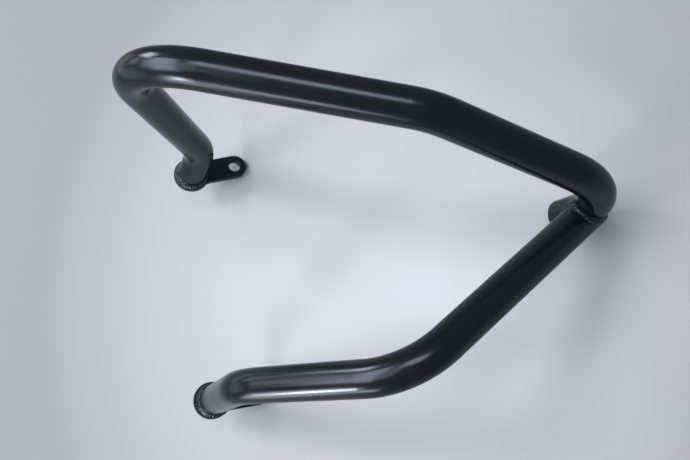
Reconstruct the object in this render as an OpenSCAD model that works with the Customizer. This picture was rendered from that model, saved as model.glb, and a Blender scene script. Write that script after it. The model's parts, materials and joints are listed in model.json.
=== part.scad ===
// Engine crash bar for one side of a motorcycle.
//
// Two bent steel tubes are welded into one loop. The upper tube starts at a mounting tab, climbs over the
// engine, turns back and ends in a short stub. The lower tube starts at a second tab and is coped onto the
// side of the outer turn. Both tabs and the bush in the stub face the engine in about the same direction.
//
// Frame: the bar lies as it rests on a floor, on the tips of its two tabs and the rim of the stub. The floor
// is z = 0, +X runs along the long straight from the tabs to the outer turn, +Y is on the upper tube's side.
// Millimetres and degrees throughout.

/* [Tube] */
// outside diameter of both tubes
tube_d = 25.4; // [22:0.1:30]
// wall thickness of both tubes
tube_wall = 2; // [1.5:0.1:3]
// centreline radius of every bend
bend_r = 54.8; // [45:0.1:58]

/* [Upper tube, corners of its centreline] */
// where the centreline meets the upper tab, seen from above
upper_foot = [-177.0, 80.0]; // [-180:0.1:200]
// knee just above the upper tab
upper_knee = [-151.6, 97.4, 62.5]; // [-160:0.1:270]
// top corner, the highest point of the loop
upper_crown = [-83.3, 115.5, 260.9]; // [-160:0.1:270]
// shallow bend at the far end of the long straight
upper_brow = [97.2, 115.5, 177.9]; // [-160:0.1:270]
// outer turn, where the tube comes back to the engine
outer_turn = [200.8, 99.7, 54.7]; // [-160:0.1:270]
// centre of the stub's open end
stub_end = [150.7, 86.2, 9.6]; // [-160:0.1:270]

/* [Lower tube, corners of its centreline] */
// where the centreline meets the lower tab, seen from above
lower_foot = [-107.5, -111.6]; // [-180:0.1:200]
// knee above the lower tab
lower_knee = [-29.6, -77.9, 122.5]; // [-160:0.1:270]
// elbow in the middle of the lower tube
lower_elbow = [99.8, -41.5, 141.4]; // [-160:0.1:270]
// how far back along the outer turn the lower tube joins it, in degrees from the stub's straight
joint_turn = 12; // [0:0.5:20]
// how far the lower tube's centreline ends before the plane of the outer turn
joint_short = 2.2; // [1:0.1:3]
// how far the lower tube's centreline passes outside that of the outer turn
joint_out = 2.6; // [1:0.1:3]

/* [Tabs] */
// angle between the way the tabs face and straight down
tab_tilt = 40.9; // [30:0.1:50]
// compass angle of the way the tabs face, from +X towards +Y
tab_heading = 211.3; // [200:0.1:220]
// thickness of the tab plate
tab_t = 5; // [4:0.1:8]
// diameter of the round end under the tube
tab_disc_d = 31.6; // [30:0.1:36]
// width of the ear that takes the bolt
tab_ear_w = 21.6; // [18:0.1:26]
// distance from the tube's centre to the bolt hole
tab_reach = 40.6; // [34:0.1:46]
// radius of the hollow where the ear meets the round end
tab_fillet_r = 8; // [4:0.1:12]
// bolt hole, clearance for an M10 bolt
tab_hole_d = 10.5; // [8:0.1:12]
// turn of the upper ear away from straight downhill
upper_tab_turn = 0; // [-20:0.5:20]
// turn of the lower ear away from straight downhill
lower_tab_turn = 6.5; // [-20:0.5:20]
// how far the lower tab is welded off its tube's centre, away from the ear
lower_tab_slip = 1.3; // [0:0.1:3]

/* [Stub bush] */
// length of the threaded bush inside the stub
bush_l = 14; // [8:0.5:14]
// how far the bush sits below the stub's rim
bush_set = 2; // [1:0.1:2.5]
// core diameter of the bush's M10 thread
bush_hole_d = 8.5; // [6:0.1:12]

/* [Welds] */
// radius of one ripple of the weld beads round the tab feet
foot_bead_r = 3; // [2.5:0.1:3.2]
// height of the middle of those beads above the tab
foot_bead_lift = 1.5; // [0:0.1:2]
// radius of one ripple of the weld bead round the coped joint
joint_bead_r = 3.2; // [2:0.1:4]
// girth of the tube that one ripple takes, in the beads round the tab feet
foot_ripple_pitch = 2.66; // [2:0.02:3.2]
// girth of the tube that one ripple takes, in the bead round the joint
joint_ripple_pitch = 2.2; // [2:0.02:2.8]

/* [Output] */
// which piece to draw

/* [Hidden] */
$fn = 64;
tube_r = tube_d / 2;
bore_r = tube_r - tube_wall;
foot_ripples = round(PI * tube_d / foot_ripple_pitch);
joint_ripples = round(PI * tube_d / joint_ripple_pitch);
// lengths that are surely past the end of a tube's foot, and past a whole tab
past = 12;
far_past = 60;
// how much each skin of the tube draws in where it is bent
bend_thin = 0.02;
// how far a straight runs into its bend, so that the two are one solid
lap = 0.02;
// how far the hollows of a tab cut into its disc and ear, so that their edges cross cleanly
hollow_bite = 0.05;
// the way the tabs face
face = [sin(tab_tilt) * cos(tab_heading), sin(tab_tilt) * sin(tab_heading), -cos(tab_tilt)];
stub_dir = unit(stub_end - outer_turn);
powder = [0.08, 0.08, 0.09];
steel = [0.6, 0.6, 0.62];

function unit(v) = v / norm(v);

// rotation that carries the X, Y and Z axes onto three unit vectors at right angles
function turn(x, y, z) = [atan2(y[2], z[2]), asin(-x[2]), atan2(x[1], x[0])];

// rotation that carries Z onto a direction
function aim(v) = [0, acos(v[2] / norm(v)), atan2(v[1], v[0])];

// angle of a bend, and the straight length that it takes from each side of its corner
function bend_angle(a, b, c) = acos(unit(b - a) * unit(c - b));
function setback(a, b, c) = bend_r * tan(bend_angle(a, b, c) / 2);

// straight downhill in the plane of the tabs, turned by an angle about the way they face
function downhill() = unit([0, 0, -1] + face[2] * face);
function ear_dir(angle) = cos(angle) * downhill() + sin(angle) * cross(face, downhill());

// height of a tube's foot when the tip of its tab touches the floor
function foot_height(angle, slip) =
    tab_t * cos(tab_tilt) + ((tab_reach - slip) * cos(angle) + tab_ear_w / 2) * sin(tab_tilt);

// centre of the outer turn's arc, and the point where its arc runs into the stub
arc_in = unit(upper_brow - outer_turn);
arc_mid = unit(arc_in + stub_dir);
arc_centre = outer_turn + arc_mid * bend_r / cos(bend_angle(upper_brow, outer_turn, stub_end) / 2);
arc_normal = unit(cross(arc_in, stub_dir));
arc_end = outer_turn + stub_dir * setback(upper_brow, outer_turn, stub_end);

// where the lower tube's centreline ends inside the outer turn, and the corners of both tubes
joint = arc_centre + cos(joint_turn) * (arc_end - arc_centre)
    - sin(joint_turn) * bend_r * stub_dir + joint_short * arc_normal
    + joint_out * (cos(joint_turn) * unit(arc_end - arc_centre) - sin(joint_turn) * stub_dir);
upper_base = [upper_foot[0], upper_foot[1], foot_height(upper_tab_turn, 0)];
lower_base = [lower_foot[0], lower_foot[1], foot_height(lower_tab_turn, lower_tab_slip)];
upper_corners = [upper_base, upper_knee, upper_crown, upper_brow, outer_turn, stub_end];
lower_corners = [lower_base, lower_knee, lower_elbow, joint];
branch_dir = unit(joint - lower_elbow);

// distance of a point from the centreline of the stub and the outer turn
function from_stub(p) = (p - arc_end) * stub_dir > 0
    ? norm(cross(p - arc_end, stub_dir))
    : norm([norm(cross(p - arc_centre, arc_normal)) - bend_r, (p - arc_centre) * arc_normal]);

// point of the lower tube's skin, at an angle round it and a distance back from the joint
branch_x = unit(cross(branch_dir, stub_dir));
branch_y = cross(branch_dir, branch_x);
function spoke(angle) = cos(angle) * branch_x + sin(angle) * branch_y;
function skin(angle, back) = joint + tube_r * spoke(angle) - back * branch_dir;

// distance back from the joint at which the skin leaves the outer turn, found by halving
halvings = 16;
function leave(angle, near, far, steps) = steps == 0 ? (near + far) / 2
    : from_stub(skin(angle, (near + far) / 2)) < tube_r
        ? leave(angle, (near + far) / 2, far, steps - 1)
        : leave(angle, near, (near + far) / 2, steps - 1);

// middle of the weld at an angle: where the skin leaves the outer turn, or, on the side
// where it passes that turn by, half-way across the gap at the tube's end
function passes_by(angle) = from_stub(skin(angle, 0)) - tube_r;
function seam(angle) = passes_by(angle) > 0
    ? skin(angle, 0) - passes_by(angle) / 2 * spoke(angle)
    : skin(angle, leave(angle, 0, far_past / 2, halvings));

module rod(p, q, r) {
    translate(p)
        rotate(aim(q - p))
            cylinder(r = r, h = norm(q - p));
}

// solid arc of the bend at corner b, between the straights from a and to c
module arc(a, b, c, r) {
    in = unit(b - a);
    out = unit(c - b);
    side = unit(out - in * (in * out));
    translate(b - in * setback(a, b, c) + side * bend_r)
        rotate(turn(-side, in, cross(-side, in)))
            rotate_extrude(angle = bend_angle(a, b, c))
                translate([bend_r, 0])
                    circle(r = r);
}

// solid rod of radius r along a bent centreline, with its ends run on by a length
module bent_rod(corners, r, bend_section_r, run_on_start, run_on_end) {
    last = len(corners) - 1;
    for (i = [0 : last - 1]) {
        along = unit(corners[i + 1] - corners[i]);
        from = i == 0
            ? run_on_start
            : -setback(corners[i - 1], corners[i], corners[i + 1]) + lap;
        to = i == last - 1
            ? run_on_end
            : -setback(corners[i], corners[i + 1], corners[i + 2]) + lap;
        rod(corners[i] - along * from, corners[i + 1] + along * to, r);
    }
    for (i = [1 : last - 1])
        arc(corners[i - 1], corners[i], corners[i + 1], bend_section_r);
}

// tube along a bent centreline, with its first end run on by a length
module bent_tube(corners, run_on) {
    difference() {
        bent_rod(corners, tube_r, tube_r - bend_thin, run_on, 0);
        bent_rod(corners, bore_r, bore_r + bend_thin, run_on + 1, 1);
    }
}

// places children on a tab: the plate's upper face is z = 0, its ear points along +X
module on_tab(foot, angle) {
    translate(foot)
        rotate(turn(ear_dir(angle), cross(-face, ear_dir(angle)), -face))
            children();
}

// everything on the engine's side of a tab's upper face
module beyond_tab(foot) {
    on_tab(foot, 0)
        translate([-far_past, -far_past, -far_past])
            cube([2 * far_past, 2 * far_past, far_past]);
}

// tab plate: a disc and a straight ear with a round tip, joined by two hollows
module tab(foot, angle) {
    disc_r = tab_disc_d / 2;
    ear_r = tab_ear_w / 2;
    hollow_y = ear_r + tab_fillet_r - hollow_bite;
    hollow_x = sqrt(pow(disc_r + tab_fillet_r - hollow_bite, 2) - pow(hollow_y, 2));
    on_tab(foot, angle)
        difference() {
            translate([0, 0, -tab_t]) {
                cylinder(r = disc_r, h = tab_t);
                translate([tab_reach, 0, 0])
                    cylinder(r = ear_r, h = tab_t);
                translate([0, -ear_r, 0])
                    cube([tab_reach, tab_ear_w, tab_t]);
                linear_extrude(height = tab_t)
                    polygon([[0, 0], [hollow_x, hollow_y], [hollow_x, -hollow_y]]);
            }
            for (side = [-1, 1])
                translate([hollow_x, side * hollow_y, -tab_t - 1])
                    cylinder(r = tab_fillet_r, h = tab_t + 2);
            translate([tab_reach, 0, -tab_t - 1])
                cylinder(d = tab_hole_d, h = tab_t + 2);
        }
}

// rippled fillet weld where a tube stands on its tab
module foot_weld(foot, knee) {
    along = unit(knee - foot);
    across = unit(cross(along, face));
    around = cross(along, across);
    difference() {
        for (i = [0 : foot_ripples - 1]) {
            a = i * 360 / foot_ripples;
            rim = tube_r * (cos(a) * across + sin(a) * around);
            translate(foot + rim - along * (rim * face + foot_bead_lift) / (along * face))
                sphere(r = foot_bead_r);
        }
        beyond_tab(foot);
        rod(foot - along * past, foot + along * past, tube_r);
    }
}

module upper_tube() {
    color(powder)
        difference() {
            bent_tube(upper_corners, past);
            beyond_tab(upper_base);
        }
}

module lower_tube() {
    color(powder)
        difference() {
            bent_tube(lower_corners, past);
            beyond_tab(lower_base);
            stub_skin();
        }
}

// outside of the stub and the outer turn, as the lower tube and its weld meet it
module stub_skin() {
    rod(arc_end - stub_dir * lap, stub_end, tube_r);
    arc(upper_brow, outer_turn, stub_end, tube_r - bend_thin);
}

module upper_tab() {
    color(powder)
        tab(upper_base, upper_tab_turn);
}

module lower_tab() {
    color(powder)
        tab(lower_base - lower_tab_slip * ear_dir(lower_tab_turn), lower_tab_turn);
}

// turned bush in the end of the stub, threaded right through for the third bolt
module stub_bush() {
    color(steel)
        translate(stub_end - stub_dir * (bush_set + bush_l))
            rotate(aim(stub_dir))
                difference() {
                    cylinder(r = bore_r, h = bush_l);
                    translate([0, 0, -1])
                        cylinder(d = bush_hole_d, h = bush_l + 2);
                }
}

module upper_tab_weld() {
    color(powder)
        foot_weld(upper_base, upper_knee);
}

module lower_tab_weld() {
    color(powder)
        foot_weld(lower_base, lower_knee);
}

// rippled weld along the curve where the lower tube is coped onto the stub
module joint_weld() {
    color(powder)
        difference() {
            for (i = [0 : joint_ripples - 1])
                translate(seam(i * 360 / joint_ripples))
                    sphere(r = joint_bead_r);
            stub_skin();
            rod(joint - branch_dir * far_past, joint, tube_r);
        }
}

// fillet weld between the bush's face and the stub's bore
module bush_weld() {
    color(powder)
        translate(stub_end - stub_dir * bush_set)
            rotate(aim(stub_dir))
                rotate_extrude()
                    polygon([[bore_r - bush_set, 0], [bore_r, 0], [bore_r, bush_set]]);
}

upper_tube();
lower_tube();
upper_tab();
lower_tab();
stub_bush();
upper_tab_weld();
lower_tab_weld();
joint_weld();
bush_weld();
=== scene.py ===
"""Looks of a motorcycle crash bar that lies on a pale floor: satin black powder coat over tube and welds.

The tubes, the bush and its weld are the CAD nodes. The two tabs get rounded edges, and the three welds
that show get the form of a real bead: a rippled fillet from one skin to the other.
"""
import json
import math

import bmesh
import bpy
from mathutils import Matrix, Vector, noise as fields


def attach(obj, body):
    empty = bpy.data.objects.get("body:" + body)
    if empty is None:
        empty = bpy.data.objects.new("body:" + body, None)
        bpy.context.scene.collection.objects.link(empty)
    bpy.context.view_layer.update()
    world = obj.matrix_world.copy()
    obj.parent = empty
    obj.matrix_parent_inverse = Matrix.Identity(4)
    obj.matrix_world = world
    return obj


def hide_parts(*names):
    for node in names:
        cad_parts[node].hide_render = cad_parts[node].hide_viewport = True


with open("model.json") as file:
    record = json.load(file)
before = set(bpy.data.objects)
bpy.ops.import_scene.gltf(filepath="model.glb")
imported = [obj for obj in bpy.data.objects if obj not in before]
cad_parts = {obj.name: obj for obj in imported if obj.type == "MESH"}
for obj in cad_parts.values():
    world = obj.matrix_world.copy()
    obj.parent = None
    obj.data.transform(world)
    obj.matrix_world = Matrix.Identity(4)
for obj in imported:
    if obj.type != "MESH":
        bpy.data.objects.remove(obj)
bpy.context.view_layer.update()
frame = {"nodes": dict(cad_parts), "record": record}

MM = 0.001

# the tubes, in millimetres, as in the part's source
TUBE_R = 12.7
BEND_R = 54.8
UPPER_KNEE = Vector((-151.6, 97.4, 62.5))
UPPER_BROW = Vector((97.2, 115.5, 177.9))
OUTER_TURN = Vector((200.8, 99.7, 54.7))
STUB_END = Vector((150.7, 86.2, 9.6))
LOWER_KNEE = Vector((-29.6, -77.9, 122.5))
LOWER_ELBOW = Vector((99.8, -41.5, 141.4))
JOINT_TURN = math.radians(12)
JOINT_SHORT = 2.2
JOINT_OUT = 2.6

# the tabs, in millimetres, their edges rounded in a few steps; the arcs of their outline in degrees
TAB_T = 5.0
TAB_DISC_R = 15.8
TAB_EAR_R = 10.8
TAB_FILLET_R = 8.0
TAB_HOLE_R = 5.25
TAB_EDGE_R = 0.45
TAB_EDGE_STEPS = 3
LOWER_TAB_SLIP = 1.3
ARC_STEP = 5

# corners of a tab nearer than this, in millimetres, are one; faces this square to its axis are its caps
MERGE = 0.01
CAP_COSINE = 0.999

# the beads, in millimetres: how far each climbs a tube, reaches along the other skin, and swells
FOOT_BEAD = {"climb": 4.4, "reach": 2.8, "swell": 0.30, "ripples": 31}
JOINT_BEAD = {"climb": 4.2, "reach": 4.2, "swell": 1.30, "ripples": 36}
# a bead's toes lie just under the skins, and wander to and fro on them
BEAD_SINK = 0.12
BEAD_WANDER = 0.6
# height of the ripples, how far they bend back across the bead, and how unevenly they follow each other
RIPPLE_HEIGHT = 0.40
RIPPLE_CURVE = 0.55
RIPPLE_WANDER = 0.25
# size and height of the lumps, and how soon all this roughness grows in from the toes
LUMPS = ((1.7, 0.30), (0.7, 0.14))
ROUGH_POWER = 0.4
# circles in the noise field that the two kinds of wander are read from
RIPPLE_FIELD_R = 3
WANDER_FIELD_R = 4
WANDER_FIELD_Z = 7.0
# mesh steps round a bead and across it
BEAD_ROUND = 720
BEAD_ACROSS = 18
# search for the joint's seam: how far back, in millimetres, halvings, and a step in radians for its direction
SEAM_BACK = 30.0
SEAM_HALVINGS = 24
SEAM_STEP = 0.02

# the camera looks down on the bar, with its picture turned about its own axis
CAMERA_PLACE = Vector((0.2492, 0.0080, 0.5758))
CAMERA_TARGET = Vector((-0.0018, 0.04795, 0.0600))
CAMERA_ROLL = -71.5
CAMERA_LENS = 38.33
CAMERA_SENSOR = 36

# the floor, in metres: a painted pool of light, palest at one place, its colour faded to a share of itself at
# some distance from it as painted falloff
FLOOR_SIZE = 12.0
FLOOR_COLOUR = (0.455, 0.452, 0.505)
FLOOR_PAINTED_LIGHT_MIDDLE = (0.053, 0.023, 0.0)
FLOOR_PAINTED_LIGHT_FADE = 0.43
FLOOR_PAINTED_LIGHT_FAR = 0.43
FLOOR_ROUGHNESS = 0.6

# backdrop: the world, and the distances between which the floor turns into it for what is seen or mirrored
BACKDROP_COLOUR = (0.80, 0.82, 0.88)
BACKDROP_STRENGTH = 0.25
BACKDROP_FROM = 0.8
BACKDROP_TO = 1.6

# the powder coat: its black, which clouds a little, its roughness, and its orange peel, in millimetres deep
COAT_DARK = (0.0050, 0.0052, 0.0068)
COAT_LIGHT = (0.0075, 0.0078, 0.0100)
COAT_CLOUD = 35.0
COAT_ROUGHNESS = 0.21
WELD_ROUGHNESS = 0.11
ROUGHNESS_VARIES = 0.03
PEEL_GRAIN = 900.0
PEEL_STRENGTH = 0.05
PEEL_DEPTH = 0.05

# how much the coat shines back, less where it is seen edge-on, and the cool tint of that shine
SHEEN = 0.48
SHEEN_AT_EDGE = 0.10
EDGE_FROM = 0.34
EDGE_TO = 0.62
SHEEN_COLOUR = (0.68, 0.80, 1.0)

# the bush's steel
STEEL_DARK = (0.46, 0.47, 0.49)
STEEL_LIGHT = (0.60, 0.61, 0.63)
STEEL_CLOUD = 120.0
STEEL_ROUGHNESS = (0.28, 0.42)

# lamps under the ceiling: middle and size in plan, in metres, and how bright their faces are
CEILING_HEIGHT = 1.5
CEILING = {
    "ceiling_far_left": ((-1.45, 0.10), (0.5, 1.0), 2.5),
    "ceiling_left_near": ((-0.74, -0.45), (0.85, 0.65), 5.0),
    "ceiling_left": ((-0.74, 0.28), (0.85, 0.80), 5.4),
    "ceiling_middle": ((-0.05, -0.10), (0.5, 0.8), 1.8),
    "ceiling_right": ((0.42, 0.52), (0.8, 0.45), 6.0),
    "spot_crown": ((-0.79, -0.49), (0.30, 0.26), 22.0),
    "spot_elbow": ((-0.66, 0.34), (0.50, 0.24), 18.0),
}

# lamps in a ring round the bar: turn about Z in degrees, height of the middle, size and brightness
RING_RADIUS = 1.5
RING = {
    "wall_near": (245, 0.50, (0.50, 1.00), 5.0),
    "wall_near_bright": (247, 0.66, (0.18, 0.30), 42.0),
    "wall_near_right": (266, 0.45, (0.45, 0.40), 7.0),
    "wall_back": (142, 0.98, (0.36, 0.50), 12.5),
    "wall_back_left": (165, 0.85, (0.50, 0.34), 2.1),
    "wall_low_back": (165, 0.20, (0.90, 0.34), 1.3),
    "wall_low_left": (200, 0.50, (1.00, 0.70), 0.8),
}
LAMP_COLOUR = (1.0, 1.0, 1.03)


def new_material(name):
    material = bpy.data.materials.new(name)
    material.use_nodes = True
    tree = material.node_tree
    shader = tree.nodes["Principled BSDF"]
    return material, tree, shader


def noise(tree, scale, detail=3.0, roughness=0.5):
    place = tree.nodes.new("ShaderNodeTexCoord")
    node = tree.nodes.new("ShaderNodeTexNoise")
    node.inputs["Scale"].default_value = scale
    node.inputs["Detail"].default_value = detail
    node.inputs["Roughness"].default_value = roughness
    tree.links.new(place.outputs["Object"], node.inputs["Vector"])
    return node.outputs["Fac"]


def spread(tree, value, low, high, low_in=0.3, high_in=0.7):
    """Value carried from one range to another, at first the range that most of a noise lies in."""
    node = tree.nodes.new("ShaderNodeMapRange")
    node.inputs["From Min"].default_value = low_in
    node.inputs["From Max"].default_value = high_in
    node.inputs["To Min"].default_value = low
    node.inputs["To Max"].default_value = high
    tree.links.new(value, node.inputs["Value"])
    return node.outputs["Result"]


def cloudy(tree, cloud, dark, light):
    return blend_colours(tree, spread(tree, cloud, 0, 1), dark, light)


def blend_colours(tree, value, colour_a, colour_b):
    node = tree.nodes.new("ShaderNodeMix")
    node.data_type = "RGBA"
    node.inputs["A"].default_value = (*colour_a, 1)
    node.inputs["B"].default_value = (*colour_b, 1)
    tree.links.new(value, node.inputs["Factor"])
    return node.outputs["Result"]


def powder_coat(name, roughness):
    """Satin black powder coat: a fine orange peel, and a sheen that varies a little from place to place."""
    material, tree, shader = new_material(name)
    cloud = noise(tree, COAT_CLOUD)
    tree.links.new(cloudy(tree, cloud, COAT_DARK, COAT_LIGHT), shader.inputs["Base Color"])
    edge = tree.nodes.new("ShaderNodeLayerWeight")
    sheen = spread(tree, edge.outputs["Facing"], SHEEN, SHEEN_AT_EDGE, EDGE_FROM, EDGE_TO)
    tree.links.new(sheen, shader.inputs["Specular IOR Level"])
    shader.inputs["Specular Tint"].default_value = (*SHEEN_COLOUR, 1)
    varied = spread(tree, cloud, roughness - ROUGHNESS_VARIES, roughness + ROUGHNESS_VARIES)
    tree.links.new(varied, shader.inputs["Roughness"])
    bump = tree.nodes.new("ShaderNodeBump")
    bump.inputs["Strength"].default_value = PEEL_STRENGTH
    bump.inputs["Distance"].default_value = PEEL_DEPTH * MM
    tree.links.new(noise(tree, PEEL_GRAIN, detail=2.0), bump.inputs["Height"])
    tree.links.new(bump.outputs["Normal"], shader.inputs["Normal"])
    return material


def bare_steel():
    """Turned zinc-plated steel of the bush."""
    material, tree, shader = new_material("zinc_steel")
    shader.inputs["Metallic"].default_value = 1.0
    cloud = noise(tree, STEEL_CLOUD)
    tree.links.new(cloudy(tree, cloud, STEEL_DARK, STEEL_LIGHT), shader.inputs["Base Color"])
    tree.links.new(spread(tree, cloud, *STEEL_ROUGHNESS), shader.inputs["Roughness"])
    return material


def give(node, material):
    """Gives a CAD node its finish."""
    data = frame["nodes"][node].data
    data.materials.clear()
    data.materials.append(material)


def across(vector, way):
    """Part of a vector that lies square to a way, at length one."""
    return (vector - way * vector.dot(way)).normalized()


def new_piece(name, data, node, material):
    """Object that stands for a CAD node and takes its finish."""
    data.materials.clear()
    data.materials.append(material)
    piece = bpy.data.objects.new(name, data)
    bpy.context.scene.collection.objects.link(piece)
    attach(piece, "root")
    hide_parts(node)


# tabs

def mount(name):
    return next(m for m in frame["record"]["mounts"] if m["name"] == name)


class Tab:
    """Where a tab sits, from its two mounts: middle of its upper face, the way it faces, its ear's way."""

    def __init__(self, bore_name, face_name):
        bore = Vector(mount(bore_name)["pos_m"]) / MM
        self.down = Vector(mount(bore_name)["axis"])
        half_way = Vector(mount(face_name)["pos_m"]) / MM
        ear = 2 * (bore - half_way + self.down * TAB_T / 2)
        self.reach = ear.length
        self.ear = ear.normalized()
        self.middle = bore - ear - self.down * TAB_T / 2


def arc_points(centre, radius, start, end):
    """Points on an arc between two angles, both included."""
    steps = max(2, round(abs(end - start) / ARC_STEP))
    turns = [math.radians(start + (end - start) * i / steps) for i in range(steps + 1)]
    return [(centre[0] + radius * math.cos(t), centre[1] + radius * math.sin(t)) for t in turns]


def tab_outline(reach):
    """Outline of disc and ear: the ear's tip, then a fillet, the disc and the other fillet."""
    rise = TAB_EAR_R + TAB_FILLET_R
    run = math.sqrt((TAB_DISC_R + TAB_FILLET_R) ** 2 - rise ** 2)
    meet = math.degrees(math.atan2(rise, run))
    points = arc_points((reach, 0), TAB_EAR_R, -90, 90)
    points += arc_points((run, rise), TAB_FILLET_R, -90, meet - 180)
    points += arc_points((0, 0), TAB_DISC_R, meet, 360 - meet)[1:-1]
    points += arc_points((run, -rise), TAB_FILLET_R, 180 - meet, 90)
    return points


def closed_line(curve, points):
    line = curve.splines.new("POLY")
    line.points.add(len(points) - 1)
    for point, (x, y) in zip(line.points, points):
        point.co = (x * MM, y * MM, 0, 1)
    line.use_cyclic_u = True


def add_tab(node, tab, material):
    """Plate with softly rounded edges, round its outline and round its hole."""
    curve = bpy.data.curves.new(node + "_outline", "CURVE")
    curve.dimensions = "2D"
    curve.fill_mode = "BOTH"
    curve.extrude = (TAB_T / 2 - TAB_EDGE_R) * MM
    curve.bevel_depth = TAB_EDGE_R * MM
    curve.bevel_resolution = TAB_EDGE_STEPS
    curve.offset = -TAB_EDGE_R * MM
    closed_line(curve, tab_outline(tab.reach))
    closed_line(curve, arc_points((tab.reach, 0), TAB_HOLE_R, 360, ARC_STEP))
    flat = bpy.data.objects.new(node + "_flat", curve)
    bpy.context.scene.collection.objects.link(flat)
    shape = bpy.data.meshes.new_from_object(flat.evaluated_get(bpy.context.evaluated_depsgraph_get()))
    bpy.data.objects.remove(flat)
    up = -tab.down
    turned = Matrix((tab.ear, up.cross(tab.ear), up)).transposed().to_4x4()
    middle = (tab.middle + tab.down * TAB_T / 2) * MM
    shape.transform(Matrix.Translation(middle) @ turned)
    part_caps_from_edges(shape, up)
    new_piece(node + "_plate", shape, node, material)


def part_caps_from_edges(shape, up):
    """Shades the rounded edges smooth, and keeps the two flat faces apart from them."""
    solid = bmesh.new()
    solid.from_mesh(shape)
    bmesh.ops.remove_doubles(solid, verts=solid.verts, dist=MERGE * MM)
    bmesh.ops.recalc_face_normals(solid, faces=solid.faces)
    for face in solid.faces:
        face.smooth = True
    for edge in solid.edges:
        caps = [abs(face.normal.dot(up)) > CAP_COSINE for face in edge.link_faces]
        edge.smooth = all(caps) or not any(caps)
    solid.to_mesh(shape)
    solid.free()


# weld beads

def hump(t):
    """Parabola over a bead, 0 at both toes and 1 in the middle."""
    return 4 * t * (1 - t)


def wander_round(angle, radius, z):
    """Smooth noise on a circle of the noise field, so that it meets itself after a turn."""
    return fields.noise(Vector((radius * math.cos(angle), radius * math.sin(angle), z)))


def crescent(angle, t, ripples):
    """Height, 0 to 1, of the crescent ripples of a bead, at an angle round it and a share t across it."""
    wander = RIPPLE_WANDER * wander_round(angle, RIPPLE_FIELD_R, ripples)
    turn = ripples * angle / math.tau + RIPPLE_CURVE * hump(t) + wander
    share = turn - math.floor(turn)
    return math.sqrt(max(0.0, 1 - (2 * share - 1) ** 2))


def add_bead(name, node, section, form, material):
    """Rippled fillet. Its section, at an angle, gives the seam, both toes and the way out."""
    points, faces = [], []
    ring = BEAD_ACROSS + 2
    for i in range(BEAD_ROUND):
        angle = math.tau * i / BEAD_ROUND
        sway = BEAD_WANDER * wander_round(angle, WANDER_FIELD_R, WANDER_FIELD_Z + form["ripples"])
        climb = form["climb"] + sway
        reach = form["reach"] - sway / 2
        seam, toe_a, toe_b, out = section(angle, climb, reach)
        for j in range(BEAD_ACROSS + 1):
            t = j / BEAD_ACROSS
            spot = toe_a.lerp(toe_b, t)
            rough = RIPPLE_HEIGHT * (crescent(angle, t, form["ripples"]) - 0.5)
            rough += sum(height * fields.noise(spot / size) for size, height in LUMPS)
            points.append((spot + out * (form["swell"] * hump(t) + rough * hump(t) ** ROUGH_POWER)) * MM)
        points.append((seam - out) * MM)
        for j in range(ring):
            a, b = i * ring + j, i * ring + (j + 1) % ring
            c, d = (b + ring) % (BEAD_ROUND * ring), (a + ring) % (BEAD_ROUND * ring)
            faces.append((a, b, c, d))
    shape = bpy.data.meshes.new(name)
    shape.from_pydata(points, [], faces)
    shape.validate()
    solid = bmesh.new()
    solid.from_mesh(shape)
    bmesh.ops.recalc_face_normals(solid, faces=solid.faces)
    solid.to_mesh(shape)
    solid.free()
    shape.polygons.foreach_set("use_smooth", [True] * len(shape.polygons))
    new_piece(name, shape, node, material)


def foot_section(foot, along, up):
    """Bead between a tube and the upper face of its tab."""
    first = across(Vector((0, 0, 1)), along)
    second = along.cross(first)

    def section(angle, climb, reach):
        rim = TUBE_R * (math.cos(angle) * first + math.sin(angle) * second)
        seam = foot + rim - along * rim.dot(up) / along.dot(up)
        away = across(rim, up)
        toe_a = seam + along * climb - rim.normalized() * BEAD_SINK
        toe_b = seam + away * reach - up * BEAD_SINK
        return seam, toe_a, toe_b, (along + away).normalized()

    return section


class OuterTurn:
    """Centreline of the outer turn and the stub, and where the lower tube meets them."""

    def __init__(self):
        inward = (UPPER_BROW - OUTER_TURN).normalized()
        self.stub = (STUB_END - OUTER_TURN).normalized()
        half = (math.pi - inward.angle(self.stub)) / 2
        self.centre = OUTER_TURN + (inward + self.stub).normalized() * BEND_R / math.cos(half)
        self.normal = inward.cross(self.stub).normalized()
        self.end = OUTER_TURN + self.stub * BEND_R * math.tan(half)
        spoke = (self.end - self.centre).normalized()
        out = spoke * math.cos(JOINT_TURN) - self.stub * math.sin(JOINT_TURN)
        self.joint = self.centre + out * (BEND_R + JOINT_OUT) + self.normal * JOINT_SHORT

    def nearest(self, point):
        """Nearest point of the centreline."""
        past = (point - self.end).dot(self.stub)
        if past > 0:
            return self.end + self.stub * past
        return self.centre + across(point - self.centre, self.normal) * BEND_R

    def off(self, point):
        return (point - self.nearest(point)).length


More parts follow.
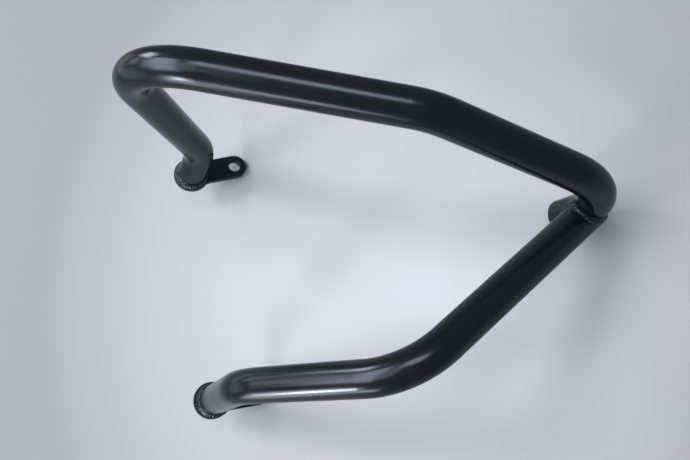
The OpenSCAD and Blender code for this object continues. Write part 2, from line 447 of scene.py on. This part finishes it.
def joint_section():
    """Bead between the end of the lower tube and the outer turn of the upper tube."""
    turn = OuterTurn()
    branch = (turn.joint - LOWER_ELBOW).normalized()
    first = branch.cross(turn.stub).normalized()
    second = branch.cross(first)

    def spoke(angle):
        return math.cos(angle) * first + math.sin(angle) * second

    def skin(angle, back):
        return turn.joint + TUBE_R * spoke(angle) - branch * back

    def back_at(angle):
        """How far back from its end the lower tube's skin leaves the outer turn, by halving."""
        near, far = 0.0, SEAM_BACK
        for _ in range(SEAM_HALVINGS):
            half = (near + far) / 2
            near, far = (half, far) if turn.off(skin(angle, half)) < TUBE_R else (near, half)
        return near

    def seam_at(angle):
        """Point of the seam, half-way across the gap where the skin passes the outer turn by."""
        gap = turn.off(skin(angle, 0)) - TUBE_R
        return skin(angle, 0) - spoke(angle) * gap / 2 if gap > 0 else skin(angle, back_at(angle))

    def section(angle, climb, reach):
        seam = seam_at(angle)
        ahead = (seam_at(angle + SEAM_STEP) - seam_at(angle - SEAM_STEP)).normalized()
        main_out = (seam - turn.nearest(seam)).normalized()
        away = ahead.cross(main_out).normalized()
        climb_way = -ahead.cross(spoke(angle)).normalized()
        if climb_way.dot(branch) > 0:
            climb_way, away = -climb_way, -away
        toe_a = seam + climb_way * climb
        axis = turn.joint + branch * (toe_a - turn.joint).dot(branch)
        toe_a = axis + (toe_a - axis).normalized() * (TUBE_R - BEAD_SINK)
        toe_b = seam + away * reach
        main = turn.nearest(toe_b)
        toe_b = main + (toe_b - main).normalized() * (TUBE_R - BEAD_SINK)
        return seam, toe_a, toe_b, (spoke(angle) + main_out).normalized()

    return section


# floor, lamps and camera

def combine(tree, operation, a, b):
    node = tree.nodes.new("ShaderNodeMath")
    node.operation = operation
    tree.links.new(a, node.inputs[0])
    tree.links.new(b, node.inputs[1])
    return node.outputs["Value"]


def blend_into_backdrop(tree, shader, share):
    """Turns a share of a surface into the world's tone, for what is seen or mirrored but not as light."""
    path = tree.nodes.new("ShaderNodeLightPath")
    seen = combine(tree, "MAXIMUM", path.outputs["Is Camera Ray"], path.outputs["Is Glossy Ray"])
    seen = combine(tree, "MAXIMUM", seen, path.outputs["Is Transmission Ray"])
    glow = tree.nodes.new("ShaderNodeEmission")
    glow.inputs["Color"].default_value = (*BACKDROP_COLOUR, 1)
    glow.inputs["Strength"].default_value = BACKDROP_STRENGTH
    mix = tree.nodes.new("ShaderNodeMixShader")
    tree.links.new(combine(tree, "MULTIPLY", seen, share), mix.inputs["Fac"])
    tree.links.new(shader.outputs["BSDF"], mix.inputs[1])
    tree.links.new(glow.outputs["Emission"], mix.inputs[2])
    tree.links.new(mix.outputs["Shader"], tree.nodes["Material Output"].inputs["Surface"])


def add_floor():
    bpy.ops.mesh.primitive_plane_add(size=FLOOR_SIZE, location=(0, 0, 0))
    floor = bpy.context.object
    floor.name = "floor"
    material, tree, shader = new_material("pale_floor")
    place = tree.nodes.new("ShaderNodeTexCoord")
    off = tree.nodes.new("ShaderNodeVectorMath")
    off.operation = "DISTANCE"
    off.inputs[1].default_value = FLOOR_PAINTED_LIGHT_MIDDLE
    tree.links.new(place.outputs["Object"], off.inputs[0])
    # painted light: the floor's colour is palest at one spot and darkens with distance from it, a painted
    # pool of light and its falloff
    far = spread(tree, off.outputs["Value"], 0, 1, 0, FLOOR_PAINTED_LIGHT_FADE)
    colour = blend_colours(tree, far, FLOOR_COLOUR, tuple(FLOOR_PAINTED_LIGHT_FAR * c for c in FLOOR_COLOUR))
    tree.links.new(colour, shader.inputs["Base Color"])
    shader.inputs["Roughness"].default_value = FLOOR_ROUGHNESS
    blend_into_backdrop(tree, shader, spread(tree, off.outputs["Value"], 0, 1, BACKDROP_FROM, BACKDROP_TO))
    floor.data.materials.append(material)


def add_lamp(name, place, target, size, brightness):
    """Lamp that looks at a target, with the power that gives its face a brightness."""
    data = bpy.data.lights.new(name, "AREA")
    data.shape = "RECTANGLE"
    data.size, data.size_y = size
    data.energy = brightness * math.pi * size[0] * size[1]
    data.color = LAMP_COLOUR
    lamp = bpy.data.objects.new(name, data)
    lamp.location = place
    lamp.rotation_mode = "QUATERNION"
    lamp.rotation_quaternion = (Vector(target) - Vector(place)).to_track_quat("-Z", "Y")
    bpy.context.scene.collection.objects.link(lamp)


def add_ceiling():
    for name, (middle, size, brightness) in CEILING.items():
        add_lamp(name, (*middle, CEILING_HEIGHT), (*middle, 0), size, brightness)


def add_ring():
    for name, (turn, height, size, brightness) in RING.items():
        turn = math.radians(turn)
        place = (RING_RADIUS * math.cos(turn), RING_RADIUS * math.sin(turn), height)
        add_lamp(name, place, (0, 0, height), size, brightness)


def add_camera():
    data = bpy.data.cameras.new("camera")
    data.sensor_width = CAMERA_SENSOR
    data.lens = CAMERA_LENS
    camera = bpy.data.objects.new("camera", data)
    look = (CAMERA_TARGET - CAMERA_PLACE).normalized()
    level = look.cross(Vector((0, 0, 1))).normalized()
    above = level.cross(look)
    roll = math.radians(CAMERA_ROLL)
    right = level * math.cos(roll) + above * math.sin(roll)
    up = right.cross(look)
    turned = Matrix((right, up, -look)).transposed().to_4x4()
    camera.matrix_world = Matrix.Translation(CAMERA_PLACE) @ turned
    bpy.context.scene.collection.objects.link(camera)
    bpy.context.scene.camera = camera


def add_world():
    world = bpy.data.worlds.new("world")
    bpy.context.scene.world = world
    world.use_nodes = True
    world.node_tree.nodes["Background"].inputs["Color"].default_value = (*BACKDROP_COLOUR, 1)
    world.node_tree.nodes["Background"].inputs["Strength"].default_value = BACKDROP_STRENGTH


bpy.context.scene.view_settings.view_transform = "Standard"
coat = powder_coat("powder_coat", COAT_ROUGHNESS)
weld_coat = powder_coat("coated_weld", WELD_ROUGHNESS)
for tube in ("upper_tube", "lower_tube"):
    give(tube, coat)
give("bush_weld", weld_coat)
give("stub_bush", bare_steel())

upper_tab = Tab("upper_tab_bore", "upper_tab_face")
lower_tab = Tab("lower_tab_bore", "lower_tab_face")
lower_foot = lower_tab.middle + lower_tab.ear * LOWER_TAB_SLIP
add_tab("upper_tab", upper_tab, coat)
add_tab("lower_tab", lower_tab, coat)
for label, foot, knee, tab in (
    ("upper", upper_tab.middle, UPPER_KNEE, upper_tab),
    ("lower", lower_foot, LOWER_KNEE, lower_tab),
):
    bead = foot_section(foot, (knee - foot).normalized(), -tab.down)
    add_bead(label + "_foot_bead", label + "_tab_weld", bead, FOOT_BEAD, weld_coat)
add_bead("joint_bead", "joint_weld", joint_section(), JOINT_BEAD, weld_coat)

add_floor()
add_world()
add_ceiling()
add_ring()
add_camera()
